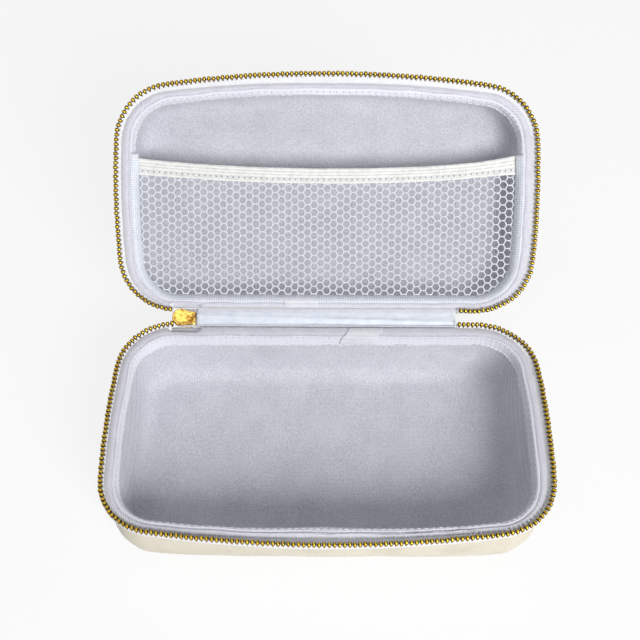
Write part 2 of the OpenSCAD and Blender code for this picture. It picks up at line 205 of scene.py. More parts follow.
def make(name, points, faces, place, material, body, slot, uv=None, replaces=()):
    """A piece from points in millimetres and faces, put in place and set on its body."""
    p = np.asarray(points, float).reshape(-1, 3)
    p = (p @ place[:3, :3].T + place[:3, 3]) / 1000
    if np.linalg.det(place[:3, :3]) < 0:
        faces = flipped(faces)
    mesh = bpy.data.meshes.new(name)
    mesh.from_pydata(p.tolist(), [], faces)
    if uv is not None:
        layer = mesh.uv_layers.new(name="weave")
        index = np.zeros(len(mesh.loops), np.int32)
        mesh.loops.foreach_get("vertex_index", index)
        value = np.asarray(uv, np.float32).reshape(-1, 2)[index]
        # A face across the line's start counts its near end as one more turn.
        of_face = np.repeat(np.arange(len(faces)), [len(f) for f in faces])
        most = np.full(len(faces), -1e9)
        np.maximum.at(most, of_face, value[:, 0])
        value[:, 0] += LINE_LEN * (most[of_face] - value[:, 0] > LINE_LEN / 2)
        layer.data.foreach_set("uv", value.ravel())
    mesh.polygons.foreach_set("use_smooth", [True] * len(mesh.polygons))
    mesh.materials.append(material)
    shaped = bmesh.new()
    shaped.from_mesh(mesh)
    bmesh.ops.recalc_face_normals(shaped, faces=shaped.faces)
    shaped.to_mesh(mesh)
    shaped.free()
    mesh.update()
    piece = bpy.data.objects.new(name, mesh)
    bpy.context.scene.collection.objects.link(piece)
    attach(piece, body)
    if replaces:
        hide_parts(*replaces)
    return piece


def paint(piece, material, faces):
    """Gives some of a piece's faces a second material."""
    piece.data.materials.append(material)
    for i in faces:
        piece.data.polygons[i].material_index = 1


def dress(node, material):
    """Gives a piece that stays as the frame has it a new material."""
    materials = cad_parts[node].data.materials
    materials.clear()
    materials.append(material)


def tube(n, m, loop=False):
    """Faces of n rings of m points: a loop, or capped at both ends."""
    i, j = np.meshgrid(np.arange(n if loop else n - 1), np.arange(m), indexing="ij")
    i2, j2 = (i + 1) % n, (j + 1) % m
    quads = np.stack([i * m + j, i * m + j2, i2 * m + j2, i2 * m + j], -1)
    faces = [tuple(q) for q in quads.reshape(-1, 4).tolist()]
    if not loop:
        faces += [tuple(range(m - 1, -1, -1)), tuple(range((n - 1) * m, n * m))]
    return faces


def repeated(faces, count, step):
    """The same faces for each of count runs of step points."""
    return [tuple(i + c * step for i in f) for c in range(count) for f in faces]


def there_and_back(face, under):
    """A strip's face and then, backwards, its underside."""
    return np.concatenate([face, under[:, ::-1]], 1)


def unit(v):
    return v / np.linalg.norm(v, axis=-1, keepdims=True)


def beside(run):
    """The direction a quarter turn to the right of run."""
    return np.stack([run[..., 1], -run[..., 0]], -1)


def sections(d, points):
    """Section points (u, z), each a number or one value for each distance."""
    return np.stack([np.stack([0 * d + u, 0 * d + z], -1) for u, z in points], 1)


def path_uv(d, section):
    """How far each point lies along the line and round its section."""
    step = np.linalg.norm(np.diff(section, axis=1, prepend=section[:, :1]), axis=-1)
    return np.stack([d, np.cumsum(step, axis=1)], -1)


def strip(name, d, section, t, place, loop, zero=0, **kind):
    """A cloth strip: its face's section (u, z) at each distance, given a thickness. Its
    weave is measured across from the section's point number zero."""
    run = np.gradient(section, axis=1)
    run /= np.linalg.norm(run, axis=-1, keepdims=True) + 1e-9
    both = there_and_back(section, section - t * beside(run))
    along = d if d.ndim == 2 else np.repeat(d[:, None], section.shape[1], 1)
    half = path_uv(along, section)
    half[..., 1] -= half[:, zero : zero + 1, 1]
    points = carried(there_and_back(along, along), both[..., 0], both[..., 1])
    return make(name, points, tube(*both.shape[:2], loop), place,
                uv=there_and_back(half, half), **kind)


def smooth_curve(points, steps=6):
    """A Catmull-Rom curve through control points, given as (n, control, 2)."""
    p = np.concatenate([points[:, :1], points, points[:, -1:]], 1)
    t = np.linspace(0, 1, steps, endpoint=False)[None, None, :, None]
    a, b, c, e = (p[:, k : p.shape[1] - 3 + k, None] for k in range(4))
    q = 0.5 * (2 * b + (c - a) * t + (2 * a - 5 * b + 4 * c - e) * t**2
               + (3 * b - a - 3 * c + e) * t**3)
    return np.concatenate([q.reshape(len(points), -1, 2), points[:, -1:]], 1)


def ripple(x, y, size, count=7):
    """Smooth waves of about the given size, from -1 to 1."""
    total = 0
    for _ in range(count):
        a = rng.uniform(0, math.tau)
        k = math.tau / (size * rng.uniform(0.7, 1.6))
        p = rng.uniform(0, math.tau)
        total = total + np.sin(k * (x * math.cos(a) + y * math.sin(a)) + p)
    return total / count


def round_ripple(d, size, count=6):
    """Smooth waves along the whole line, from -1 to 1, that close on themselves."""
    waves = np.round(LINE_LEN / size * rng.uniform(0.7, 1.4, count))
    phase = rng.uniform(0, math.tau, count)
    return sum(np.sin(math.tau * k * d / LINE_LEN + p) for k, p in zip(waves, phase)) / count


# ---- Materials
STITCH_COUNT = int(LINE_LEN / 3.6)
STITCH_PITCH, STITCH_ACROSS = LINE_LEN / STITCH_COUNT, 2.2
ELASTIC_PITCH, ELASTIC_ROW = 3.15, 2.0


def srgb(r, g, b):
    return tuple(
        c / 12.92 if c <= 0.04045 else ((c + 0.055) / 1.055) ** 2.4
        for c in (r / 255, g / 255, b / 255)
    ) + (1.0,)


class Surface:
    """A Principled material and the nodes that vary it over the surface."""

    def __init__(self, name, **sockets):
        self.mat = bpy.data.materials.new(name)
        self.mat.use_nodes = True
        self.nodes, self.links = self.mat.node_tree.nodes, self.mat.node_tree.links
        self.shader = self.nodes["Principled BSDF"]
        for socket, value in sockets.items():
            self.shader.inputs[socket.replace("_", " ")].default_value = value

    def put(self, value, socket):
        if isinstance(value, bpy.types.NodeSocket):
            self.links.new(value, socket)
        else:
            socket.default_value = value

    def node(self, kind, **inputs):
        """A new node; each input is a number or another node's output."""
        node = self.nodes.new("ShaderNode" + kind)
        for name, value in inputs.items():
            self.put(value, node.inputs[name])
        return node

    def math(self, operation, *values):
        node = self.nodes.new("ShaderNodeMath")
        node.operation = operation
        for value, socket in zip(values, node.inputs):
            self.put(value, socket)
        return node.outputs[0]

    def space(self):
        """Place on the object, in millimetres."""
        node = self.nodes.new("ShaderNodeVectorMath")
        node.operation = "SCALE"
        node.inputs["Scale"].default_value = 1000
        self.links.new(self.nodes.new("ShaderNodeTexCoord").outputs["Object"], node.inputs[0])
        return node.outputs[0]

    def cloth(self):
        """Millimetres along and across a strip of cloth."""
        node = self.nodes.new("ShaderNodeUVMap")
        node.uv_map = "weave"
        return node.outputs[0]

    def axes(self, vector):
        return self.node("SeparateXYZ", Vector=vector).outputs

    def noise(self, vector, size, detail=2.0):
        node = self.node("TexNoise", Vector=vector, Scale=1 / size, Detail=detail)
        return node.outputs["Fac"]

    def cells(self, vector, size):
        return self.node("TexVoronoi", Vector=vector, Scale=1 / size).outputs["Distance"]

    def ribs(self, x, y, pitch, angle):
        """Ribs from 0 to 1 whose crests lie at an angle to x."""
        k = math.tau / pitch
        a = self.math("MULTIPLY", x, k * math.sin(math.radians(angle)))
        b = self.math("MULTIPLY_ADD", y, k * math.cos(math.radians(angle)), a)
        return self.math("MULTIPLY_ADD", self.math("SINE", b), 0.5, 0.5)

    def band(self, value, low, high, soft):
        """1 from low to high, falling to 0 over the soft width on either side."""
        up = self.math("MULTIPLY_ADD", value, 1 / soft, 1 - low / soft)
        down = self.math("MULTIPLY_ADD", value, -1 / soft, 1 + high / soft)
        both = self.math("MINIMUM", up, down)
        return self.math("MAXIMUM", self.math("MINIMUM", both, 1), 0)

    def holes(self, along, across, row, half, pitch, gap, soft):
        """1 at the needle holes between the stitches of a row."""
        near = self.band(across, row - half, row + half, 0.25)
        apart = self.math("PINGPONG", along, pitch / 2)
        return self.math("MULTIPLY", near, self.band(apart, pitch / 2 - gap, 9, soft))

    def blend(self, share, *values):
        """The values' sum, each with its share."""
        total = self.math("MULTIPLY", values[0], share[0])
        for s, value in zip(share[1:], values[1:]):
            total = self.math("MULTIPLY_ADD", value, s, total)
        return total

    def colour(self, fac, *stops):
        node = self.nodes.new("ShaderNodeValToRGB")
        self.links.new(fac, node.inputs[0])
        ramp = node.color_ramp
        for k, (at, shade) in enumerate(stops):
            stop = ramp.elements[k] if k < 2 else ramp.elements.new(at)
            stop.position, stop.color = at, srgb(*shade)
        self.links.new(node.outputs[0], self.shader.inputs["Base Color"])
        return self

    def rough(self, fac, low, high):
        value = self.math("MULTIPLY_ADD", fac, high - low, low)
        self.links.new(value, self.shader.inputs["Roughness"])
        return self

    def bump(self, height, mm, strength=1.0):
        node = self.node("Bump", Strength=strength, Distance=mm / 1000, Height=height)
        self.links.new(node.outputs[0], self.shader.inputs["Normal"])
        return self


def leatherette():
    s = Surface("leatherette", Roughness=0.55)
    place = s.space()
    x, y, z = s.axes(place)
    grain = s.cells(place, 0.95)
    slant = s.ribs(s.math("ADD", x, z), y, 0.9, 38)
    height = s.blend((0.7, 0.3, 0.5), grain, slant, s.noise(place, 0.5, 3))
    # Mottled colour: large soft blotches, a quarter of it from the grain's height.
    grain_mottle = s.blend((0.75, 0.25), s.noise(place, 22, 3), height)
    s.colour(grain_mottle, (0.30, (203, 195, 176)), (0.62, (221, 214, 198)))
    return s.rough(grain, 0.45, 0.68).bump(height, 0.22, 0.9).mat


def knit_lining():
    s = Surface("lining", Roughness=0.85, Sheen_Weight=0.25, Sheen_Roughness=0.5)
    place = s.space()
    x, y, z = s.axes(place)
    loops = s.math("MULTIPLY", s.ribs(x, s.math("ADD", y, z), 0.95, 90),
                   s.ribs(x, s.math("ADD", y, z), 0.8, 0))
    height = s.blend((0.6, 0.6), loops, s.noise(place, 0.9, 2))
    shade = s.blend((0.2, 0.6, 0.2), s.noise(place, 16, 3), s.noise(place, 0.9, 2), loops)
    s.colour(shade, (0.28, (181, 182, 191)), (0.62, (224, 225, 233)))
    return s.bump(height, 0.22, 0.8).mat


def twill(name, dark, light, pitch, angle, mm, edge=False):
    """Diagonal ribs; past the crease, at 0 across, the edge is plainer and whiter, and the crease
    and the needle holes are darker with painted shade.
    """
    s = Surface(name, Roughness=0.8, Sheen_Weight=0.3, Sheen_Roughness=0.45)
    along, across, _ = s.axes(s.cloth())
    run = LINE_LEN * math.sin(math.radians(angle))
    rib = s.ribs(along, across, run / round(run / pitch), angle)
    yarn = s.ribs(along, across, pitch * 0.55, angle - 78)
    place = s.space()
    height = s.blend((0.75, 0.2, 0.25), rib, yarn, s.noise(place, 0.6, 2))
    shade = s.blend((0.45, 0.25, 0.3), height, s.noise(place, 7, 3), s.noise(place, 1.1, 2))
    if edge:
        past = s.band(across, 0.5, 40, 0.5)
        cross = s.blend((0.5, 0.5), s.ribs(along, across, 1.1, 90), s.noise(place, 0.7, 2))
        height = s.blend((1, 1), s.math("MULTIPLY", height, s.math("SUBTRACT", 1, past)),
                         s.math("MULTIPLY", cross, past))
        # Painted shade: the needle holes and the crease are darker, by the shares below.
        hole_shade = s.holes(along, across, STITCH_ACROSS, 0.35, STITCH_PITCH, 0.3, 0.2)
        crease = s.math("MULTIPLY", s.band(across, -0.3, 0.3, 0.5), s.noise(place, 9, 1))
        shade = s.blend((1, 0.24, -0.3, -0.6), shade, past, crease, hole_shade)
    s.colour(shade, (0.25, dark), (0.6, light))
    return s.bump(height, mm, 1.0).mat


def tooth_gold():
    """Gold with painted shade down the legs and on the sides between the teeth, standing in for
    shade and dark reflections; the heads' tops stay bright as a painted highlight.
    """
    s = Surface("teeth_gold", Metallic=1.0, Roughness=0.3)
    height, across, _ = s.axes(s.cloth())
    place = s.space()
    fine = s.noise(place, 1.6, 2)
    painted_side_shade = s.math("MULTIPLY", across, across)
    # Painted shade: darker towards the sides between the teeth and down the legs.
    shade = s.blend((0.35, -0.75, -0.2), fine, painted_side_shade, s.band(height, 2.0, 9, 1.3))
    s.colour(s.math("ADD", shade, 0.5), (0.0, (34, 26, 6)), (0.85, (238, 204, 76)),
             (0.45, (118, 88, 18)))
    return s.rough(fine, 0.12, 0.32).mat


def gold(name, dark, light, low, high):
    s = Surface(name, Metallic=1.0, Roughness=0.3)
    place = s.space()
    fine = s.noise(place, 1.8, 4)
    s.colour(s.blend((0.6, 0.4), fine, s.noise(place, 6, 1)), (0.34, dark), (0.56, light))
    return s.rough(fine, low, high).bump(s.noise(place, 2.6, 3), 0.3, 0.7).mat


def satin():
    s = Surface("satin", Roughness=0.42, Sheen_Weight=0.35, Sheen_Roughness=0.3,
                Anisotropic=0.5)
    along, across, _ = s.axes(s.cloth())
    thread = s.ribs(along, across, 0.45, 0)
    place = s.space()
    height = s.blend((0.35, 0.65), thread, s.noise(place, 1.4, 3))
    s.colour(s.blend((0.3, 0.7), thread, s.noise(place, 5, 3)),
             (0.28, (214, 221, 234)), (0.66, (234, 239, 248)))
    return s.bump(height, 0.12, 0.6).mat


def elastic_cloth():
    s = Surface("elastic", Roughness=0.7, Sheen_Weight=0.2)
    along, across, _ = s.axes(s.cloth())
    knit = s.math("MULTIPLY", s.ribs(along, across, 0.85, 90), s.ribs(along, across, 0.6, 25))
    cord = s.math("POWER", s.ribs(along, across, ELASTIC_W / 5, 0), 0.45)
    hole_shade = s.holes(along, across, ELASTIC_ROW, 0.3, ELASTIC_PITCH, 0.35, 0.25)
    place = s.space()
    # Painted shade: the needle holes of the stitch row are darker.
    s.colour(s.blend((0.1, 0.3, 0.16, -0.5), knit, s.noise(place, 3, 3), cord, hole_shade),
             (0.0, (168, 170, 176)), (0.32, (243, 243, 239)))
    return s.bump(s.blend((0.25, 1), knit, cord), 0.12, 0.8).mat


def thread(name, dark, light, pitch=0.5):
    s = Surface(name, Roughness=0.6, Sheen_Weight=0.3)
    place = s.space()
    x, y, z = s.axes(place)
    twist = s.ribs(s.math("ADD", x, z), y, pitch, 40)
    s.colour(s.blend((0.5, 0.5), twist, s.noise(place, 2.5, 2)), (0.25, dark), (0.7, light))
    return s.bump(twist, 0.05, 0.6).mat


def ladder_cloth():
    s = Surface("net_hem", Roughness=0.75, Sheen_Weight=0.3)
    along, across, _ = s.axes(s.cloth())
    rungs = s.math("MULTIPLY", s.ribs(along, across, 1.35, 90), s.ribs(along, across, 1.5, 0))
    place = s.space()
    s.colour(s.blend((0.6, 0.4), rungs, s.noise(place, 2, 3)),
             (0.15, (210, 216, 230)), (0.5, (246, 249, 254)))
    return s.bump(rungs, 0.18, 0.8).mat


def foam():
    s = Surface("foam_core", Roughness=0.9)
    place = s.space()
    pores = s.cells(place, 0.8)
    s.colour(s.blend((0.6, 0.4), pores, s.noise(place, 9, 2)),
             (0.2, (52, 52, 55)), (0.7, (78, 78, 82)))
    return s.bump(pores, 0.2, 0.6).mat


LEATHER, LINING, SATIN = leatherette(), knit_lining(), satin()
BINDING = twill("binding", (186, 186, 202), (238, 238, 248), 0.95, 48, 0.24, True)
BINDING_LAP = twill("binding_lap", (204, 204, 216), (246, 246, 252), 0.95, 48, 0.2)
TAPE = twill("zip_tape", (222, 224, 232), (250, 251, 254), 0.7, 60, 0.12)
BRIGHT_GOLD = gold("slider_gold", (138, 86, 18), (252, 210, 110), 0.05, 0.28)
# A darker gold for the slider plates' rims: painted shade.
RIM_SHADE_GOLD = gold("slider_rim_painted_shade", (92, 50, 8), (196, 126, 34), 0.15, 0.35)
TEETH_GOLD, ELASTIC = tooth_gold(), elastic_cloth()
NET_THREAD = thread("net_thread", (228, 232, 242), (252, 253, 255))
STITCH = thread("stitch_thread", (204, 204, 208), (238, 238, 240), 0.35)
NET_HEM, FOAM = ladder_cloth(), foam()
CUT_EDGE = thread("cut_edge", (170, 166, 172), (204, 202, 208), 0.6)


# ---- Camera and light
CAMERA_AT = (-0.000566, -0.214744, 0.47828)
FLOOR_WHITE = 0.84  # how much of the floor's colour the camera sees as its own light


def look():
    """The camera's place and direction; its own +Z points from the case to it."""
    pitch, yaw, roll = math.radians(57.11), math.radians(0.56), math.radians(-0.2)
    back = Vector((math.sin(yaw) * math.cos(pitch), -math.cos(yaw) * math.cos(pitch),
                   math.sin(pitch)))
    right = Vector((math.cos(yaw), math.sin(yaw), 0))
    up = back.cross(right)
    x = right * math.cos(roll) + up * math.sin(roll)
    y = up * math.cos(roll) - right * math.sin(roll)
    data = bpy.data.cameras.new("camera")
    data.lens, data.sensor_width, data.clip_start = 51.64, 36, 0.01
    camera = bpy.data.objects.new("camera", data)
    bpy.context.scene.collection.objects.link(camera)
    turn = Matrix((x, y, back)).transposed().to_4x4()
    camera.matrix_world = Matrix.Translation(CAMERA_AT) @ turn
    bpy.context.scene.camera = camera


def area_light(name, place, aim, size, power):
    data = bpy.data.lights.new(name, "AREA")
    data.shape, data.size, data.energy = "DISK", size, power
    lamp = bpy.data.objects.new(name, data)
    bpy.context.scene.collection.objects.link(lamp)
    lamp.location = place
    lamp.rotation_euler = (Vector(aim) - Vector(place)).to_track_quat("-Z", "Y").to_euler()


def seen_white(tree):
    """1 for what the camera sees, straight or through gloss and glass."""
    path = tree.nodes.new("ShaderNodeLightPath")
    total = path.outputs["Is Camera Ray"]
    for ray in ("Is Glossy Ray", "Is Transmission Ray"):
        add = tree.nodes.new("ShaderNodeMath")
        add.operation, add.use_clamp = "ADD", True
        tree.links.new(total, add.inputs[0])
        tree.links.new(path.outputs[ray], add.inputs[1])
        total = add.outputs[0]
    return total


def studio():
    """A white backdrop, a floor that keeps the object's shadow, and two lamps."""
    world = bpy.data.worlds.new("studio")
    bpy.context.scene.world = world
    world.use_nodes = True
    tree = world.node_tree
    fill = tree.nodes["Background"]
    fill.inputs["Color"].default_value = (0.99, 1.0, 0.99, 1)
    fill.inputs["Strength"].default_value = 0.2
    white = tree.nodes.new("ShaderNodeBackground")
    white.inputs["Strength"].default_value = 1.0
    mix = tree.nodes.new("ShaderNodeMixShader")
    tree.links.new(seen_white(tree), mix.inputs[0])
    tree.links.new(fill.outputs[0], mix.inputs[1])
    tree.links.new(white.outputs[0], mix.inputs[2])
    tree.links.new(mix.outputs[0], tree.nodes["World Output"].inputs["Surface"])

    bpy.ops.mesh.primitive_plane_add(size=6, location=(0, 0, -0.0002))
    floor = bpy.context.object
    floor.name = "floor"
    s = Surface("floor", Roughness=0.9)
    s.colour(s.noise(s.space(), 60, 2), (0.3, (242, 242, 243)), (0.7, (245, 245, 246)))
    glow = s.nodes.new("ShaderNodeEmission")
    mix = s.nodes.new("ShaderNodeMixShader")
    s.links.new(s.math("MULTIPLY", seen_white(s.mat.node_tree), FLOOR_WHITE), mix.inputs[0])
    s.links.new(s.shader.outputs[0], mix.inputs[1])
    s.links.new(glow.outputs[0], mix.inputs[2])
    s.links.new(mix.outputs[0], s.nodes["Material Output"].inputs["Surface"])
    floor.data.materials.append(s.mat)
    area_light("key", (0.6, -1.02, 0.88), (0, 0.03, 0.05), 0.75, 19.8)
    area_light("fill", (-0.4, 0.15, 1.2), (0, 0.05, 0.05), 0.9, 2.0)


look()
studio()


# ---- Shells
# How far the base's lower front corners stand out beyond the rim, by direction, and how
# far down the wall that takes to grow
FULLER_AT = (185, 200, 215, 232, 250, 262.4, 265, 268, 272.5, 275, 277.6, 290, 308, 325, 340, 355)
FULLER_BY = (0, 1.5, 3.5, 4.8, 5, 4.4, 2.2, 0.2, 0.2, 2.2, 4.4, 5, 5, 4, 2, 0)
FULLER_OVER = 17


def shell(name, depth, outer, inner, place, waves, fuller=False, **kind):
    """A layer of a moulded shell, with small waves on the face that shows."""
    d = np.linspace(0, LINE_LEN, 300, endpoint=False)
    s = line(d)
    shrink = np.linspace(0.015, 1, 14)[:-1]
    rings = []
    for inside, lift, down in ((inner, waves[0], False), (outer, waves[1], True)):
        wall = [carried(d, 0 * d + u, 0 * d + z) for u, z in layer_curve(depth, inside)]
        face = np.stack([wall[-1] * (t, t, 1) for t in shrink] + wall[::-1])
        if down and fuller:
            push = np.interp(facing(d), FULLER_AT, FULLER_BY)
            push = push * np.clip((-face[..., 2] - RIM_DROP) / FULLER_OVER, 0, 1)
            reach = np.hypot(face[..., 0], face[..., 1]) / np.hypot(s[:, 0], s[:, 1])
            face[..., :2] += s[None, :, 2:] * (push * np.clip(reach / 0.7, 0, 1))[..., None]
        if lift:
            w = ripple(face[..., 0] + face[..., 2], face[..., 1] + 0.7 * face[..., 2], 34)
            w = lift * (w + 0.25 * ripple(face[..., 0], face[..., 1] + face[..., 2], 11))
            fade = np.clip((-face[..., 2] - RIM_DROP) / 9, 0, 1)
            out = s[None, :, 2:] * np.clip((depth - 6 + face[..., 2, None]) / 9, 0, 1)
            face[..., :2] += out * (w * fade)[..., None]
            face[..., 2] += w * fade * np.clip((-face[..., 2] - depth + 12) / 8, 0, 1)
        rings.append(face[::-1] if down else face)
    points = np.concatenate(rings)
    k, n = points.shape[:2]
    piece = make(name, points, tube(k, n), place, **kind)
    if outer == 0:
        rim_faces = (k // 2 - 1) * n
        paint(piece, CUT_EDGE, range(rim_faces, rim_faces + n))


for half, depth, place in (("base", BASE_DEPTH, ON_BASE), ("lid", LID_DEPTH, ON_LID)):
    shell(f"{half}_outer_skin", depth, 0, COVER_T, place, (0, 0.12), half == "base",
          material=LEATHER, body=half, slot="leatherette", replaces=(f"{half}_cover",))
    shell(f"{half}_inner_cloth", depth, COVER_T + CORE_T, SHELL_T, place, (0.28, 0),
          material=LINING, body=half, slot="lining", replaces=(f"{half}_lining",))
    dress(f"{half}_core", FOAM)


# ---- Rims: binding, zipper tape and teeth
ZIP_FROM = SLIDER_LEN + SLIDER_GAP - HINGE_LEFT + SLIDER_GAP
ZIP_TO = LINE_LEN - HINGE_RIGHT + 1.4
NOTCH, NOTCH_RAMP = HINGE_INSET + CHANNEL_H / 2 + PLATE_T + 0.3, 3.5
# By direction: how far inside the teeth the binding's outer edge, its crease and its inner
# edge lie, and how deep it goes down the wall. Last, for the front, left, right and back,
# how far the teeth lean out in degrees and how far the tape's bend pushes them out.
RIM_AT = (0, 45, 89, 91, 135, 180, 225, 262, 265.5, 270, 276, 278.5, 315, 360)
RIMS = {
    "base": {
        "outer": (0.9, 1.0, 1.7, 1.7, 1.1, 1.2, 1.1, 1.2, 2.9, 4.4, 3.2, 1.6, 1.0, 0.9),
        "crease": (5.0, 5.6, 7.3, 7.3, 6.2, 5.6, 4.6, 4.6, 5.6, 7.0, 5.2, 4.6, 4.6, 5.0),
        "inner": (7.0, 7.2, 8.1, 8.1, 7.4, 7.0, 6.9, 6.9, 7.9, 10.1, 7.3, 6.9, 6.9, 7.0),
        "foot": (10.2, 10.2, 10.8, 13.0, 11.5, 8.6, 8.8, 9.5, 12.0, 13.0, 12.0, 9.5, 9.5, 10.2),
        "lean": (2, 4, 9, 2), "push": (0, 0, 1.5, -0.55)},
    "lid": {
        "outer": (0.9, 1.0, 1.5, 1.5, 1.0, 1.0, 1.0, 1.1, 1.9, 2.8, 1.8, 1.1, 1.0, 0.9),
        "crease": (5.2, 5.0, 4.6, 4.6, 5.0, 5.4, 5.2, 4.6, 4.6, 5.3, 4.6, 4.6, 5.0, 5.2),
        "inner": (7.3, 7.0, 6.9, 6.9, 7.0, 7.1, 7.0, 6.9, 7.2, 8.9, 7.2, 6.9, 7.1, 7.3),
        "foot": (9.5, 9.0, 8.5, 8.5, 8.5, 8.5, 8.5, 8.5, 9.0, 10.0, 9.0, 8.5, 9.0, 9.5),
        "lean": (24, 7, 7, 2), "push": (1.2, 1.3, 1.3, -0.55)},
}


def rim_values(half, d):
    """The binding's measures, and 1 where it steps down for the slider."""
    r, turn = RIMS[half], facing(d)
    # Along the straight back the direction stands still, so it follows x instead.
    turn = np.where(np.abs(turn - 90) < 1, 90 - line(d)[..., 0] / HALF_W, turn)
    low = np.interp(d, [-HINGE_LEFT - NOTCH_RAMP, -HINGE_LEFT - 0.3, ZIP_FROM,
                        ZIP_FROM + NOTCH_RAMP], [0, 1, 1, 0])
    low = low * low * (3 - 2 * low)
    return [np.interp(turn, RIM_AT, r[k]) for k in ("outer", "crease", "inner", "foot")] + [low]


def binding_curve(half, depth, d, lift=0.0, wrinkle=True):
    """The binding's face, from its outer edge over the rim and down the wall."""
    outer, crease, inner, foot, low = rim_values(half, d)
    if wrinkle:
        crease = crease + 0.45 * round_ripple(d, 30)
        foot = foot + 0.9 * round_ripple(d, 4) + 0.8 * round_ripple(d, 19)
        outer = outer + 0.15 * round_ripple(d, 15)
    wall = lambda z: -wall_u(depth, z, SHELL_T)
    start = np.maximum(outer + 0.8, low * (NOTCH + 0.3))
    middle = (4.4 + foot) / 2
    points = [
        (outer, -4.6 - 0.85 * low), (outer + 0.05, -3.7 - 1.4 * low), (start, -2.95 - 2.0 * low),
        ((start + crease) / 2, -2.55 - 0.5 * low), (crease - 0.7, -2.75),
        (crease, -3.05 - 0.12 * round_ripple(d, 40)), (crease + 0.9, -2.95), (inner, -4.4),
        (np.maximum((inner + wall(foot) + 1.1) / 2, wall(middle) + 0.9), -middle),
        (wall(foot) + 1.15, -foot),
    ]
    curve = smooth_curve(sections(d, [(-u, z) for u, z in points]), 5)
    if wrinkle:
        s = line(d)
        turn = np.abs(np.gradient(np.unwrap(np.arctan2(s[:, 3], s[:, 2])), d))
        corner = np.clip(turn * CORNER_R, 0, 1)
        share = np.linspace(0, 1, curve.shape[1]) ** 1.5
        waves = np.sin(math.tau * 180 * d / LINE_LEN + 1.5 * np.sin(math.tau * 11 * d / LINE_LEN))
        curve[..., 0] -= (waves * (0.06 + 0.18 * corner))[:, None] * share
        curve[..., 0] += 0.1 * round_ripple(d, 9)[:, None] * np.sin(3 * curve[..., 1])
    return curve + lift * beside(unit(np.gradient(curve, axis=1)))


TOOTH_HALF = 1.06


def tooth_rings():
    """A tooth's rounded cross-sections: height, half-width along, half-thickness."""
    profile = [(0.0, 0.34, 0.40), (0.22, 0.72, 0.80), (0.62, 0.98, 1.12), (1.1, TOOTH_HALF, 1.28),
               (1.6, 0.88, 1.30), (2.0, 0.56, 1.22), (2.5, 0.52, 1.18), (3.1, 0.62, 1.26),
               (TOOTH_LEN, 0.66, 1.22)]
    a = circle(12)
    c, s = np.cos(a), np.sin(a)
    box = lambda v: np.sign(v) * np.abs(v) ** 0.7
    return np.array([[(w * box(p), t * box(q), -TOOTH_GAP - h) for p, q in zip(c, s)]
                     for h, w, t in profile])


def leaned(half, d, u, z):
    """Turns (u, z) outwards about the tape's bend and pushes it out."""
    z0, r = -TAPE_TOP + 0.1, RIMS[half]
    shape = (-1,) + (1,) * (np.ndim(u) - 1)
    angle = np.radians(by_side(d, *r["lean"])).reshape(shape)
    push = by_side(d, *r["push"]).reshape(shape) * np.clip((z - z0) / 1.3, 0, 1) ** 2
    return (u * np.cos(angle) + (z - z0) * np.sin(angle) + push,
            z0 + (z - z0) * np.cos(angle) - u * np.sin(angle))


def teeth(half, place, offset):
    """A half's row of teeth, its first one offset along the line, each a little tilted."""
    rings = tooth_rings()
    k, m = rings.shape[:2]
    first, last = ZIP_FROM - 0.6 + offset, ZIP_TO - 1.2
    count = int((last - first) / TOOTH_PITCH) + 1
    d = first + TOOTH_PITCH * np.arange(count)
    s = line(d)
    tilt = 0.05 * rng.uniform(-1, 1, count)[:, None, None]
    height = rings[None, ..., 2]
    u, z = leaned(half, d, rings[None, ..., 1] + tilt * (height + TAPE_TOP), height + 0 * tilt)
    flat = (s[:, None, None, :2] + u[..., None] * s[:, None, None, 2:]
            + rings[None, ..., :1] * beside(s[:, 2:])[:, None, None])
    points = np.concatenate([flat, z[..., None]], -1)
    uv = np.stack([-rings[..., 2] - TOOTH_GAP, rings[..., 0] / TOOTH_HALF], -1)
    make(f"{half}_gold_teeth", points, repeated(flipped(tube(k, m)), count, k * m), place,
         TEETH_GOLD, half, "gold", uv=np.tile(uv, (count, 1, 1, 1)),
         replaces=(f"{half}_zip_teeth",))


def lap_share(half, d):
    """1 at the base's front left end, falling to 0 at the sides and on the lid."""
    share = np.interp(facing(d), [180, 215, 240, 263, 270, 278, 300, 330],
                      [0.2, 0.6, 1, 1, 0.3, 0.5, 0.6, 0])
    return share * (half == "base")


